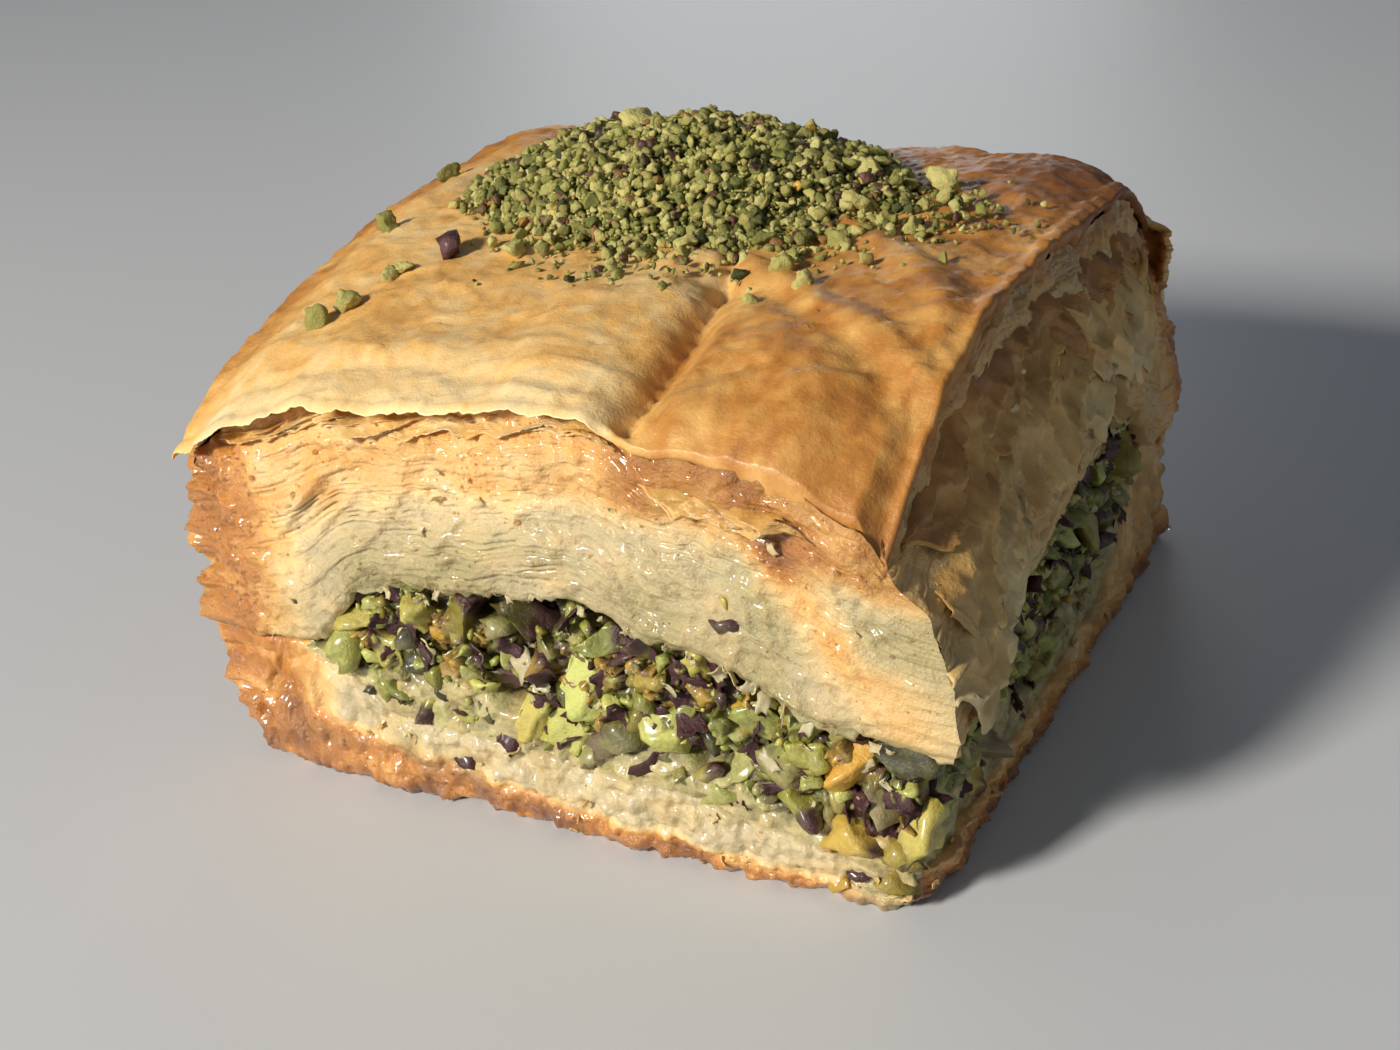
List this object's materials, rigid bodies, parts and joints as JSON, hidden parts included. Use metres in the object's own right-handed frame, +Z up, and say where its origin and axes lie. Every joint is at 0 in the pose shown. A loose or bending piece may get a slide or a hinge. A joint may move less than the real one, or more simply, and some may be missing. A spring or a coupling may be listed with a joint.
{
  "type": "baklava piece",
  "caption": "Square corner piece of pistachio baklava: domed flaky filo stack over a green nut layer, thin filo base, heap of ground pistachio on top.",
  "frame": {"origin": "centre of the bounding box at its bottom, on the surface the piece stands on", "axes": "+Z up; the front knife cut that shows the nut layer faces -Y, the second knife cut faces +X"},
  "size_m": [0.0686, 0.0642, 0.044],
  "materials": {
    "filo_base": "baked filo soaked with syrup, cream to amber, satin",
    "pistachio_filling": "chopped pistachio in syrup, moist, satin",
    "filo_top": "crisp browned filo with a thin syrup glaze, satin",
    "pistachio_topping": "dry ground pistachio, matt"
  },
  "bodies": {
    "root": {"filo_base": "filo_base", "pistachio_filling": "pistachio_filling", "filo_top": "filo_top", "pistachio_topping": "pistachio_topping"}
  },
  "joints": []
}
